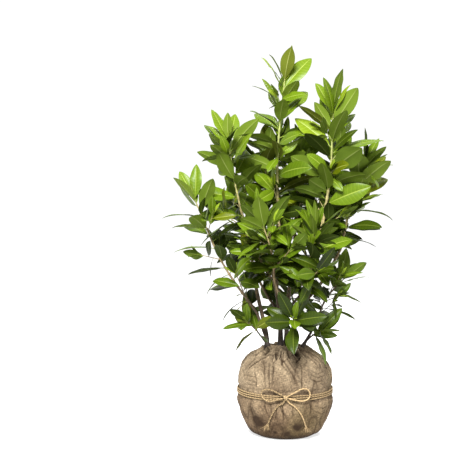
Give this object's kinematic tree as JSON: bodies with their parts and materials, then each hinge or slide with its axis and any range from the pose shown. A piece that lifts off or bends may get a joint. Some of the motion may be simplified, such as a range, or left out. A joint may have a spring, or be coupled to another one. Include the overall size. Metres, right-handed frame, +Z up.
{
  "type": "cherry laurel shrub with burlap root ball",
  "caption": "Evergreen cherry laurel shrub with glossy oval leaves on slender stems, standing on a burlap-wrapped root ball tied with a twine bow.",
  "frame": {"origin": "centre of the flat underside of the root ball, where the plant stands", "axes": "+Z up along the plant's height, -Y towards the side that carries the twine bow, +X to the right of that view"},
  "size_m": [0.7414, 0.6093, 1.2424],
  "materials": {
    "burlap": "coarse plain-woven jute sacking, tan, with damp dark stains low down",
    "twine": "pale twisted jute twine with loose fibres",
    "bark": "smooth grey-brown young bark with fine ridges and lenticels",
    "foliage": "glossy leathery evergreen leaves with pale midribs, on green stems"
  },
  "bodies": {
    "root": {"root_ball": "burlap", "twine_turn_lower": "twine", "twine_turn_middle": "twine", "twine_turn_upper": "twine", "bow_knot": "twine", "bow_loop_left": "twine", "bow_loop_right": "twine", "bow_tail_left": "twine", "bow_tail_right": "twine", "trunk_centre": "bark", "trunk_left": "bark", "trunk_right": "bark", "trunk_low_right": "bark", "trunk_back": "bark", "trunk_front": "bark", "bough_left_outer": "bark", "bough_back_inner": "bark", "bough_right_outer": "bark", "bough_centre_right": "bark", "bough_back_left": "bark", "bough_back_right": "bark", "bough_front_left": "bark", "crown_top": "foliage", "crown_left_upper": "foliage", "crown_right_upper": "foliage", "crown_left_outer": "foliage", "crown_right_outer": "foliage", "crown_right_low": "foliage", "crown_back_inner": "foliage", "crown_front_left": "foliage", "crown_front_right": "foliage", "crown_centre_right": "foliage", "crown_left_inner": "foliage", "crown_back_left": "foliage", "crown_back_right": "foliage", "crown_back_top": "foliage", "crown_back_low": "foliage", "crown_base_right": "foliage", "crown_base_front": "foliage", "crown_base_left": "foliage"}
  },
  "joints": []
}
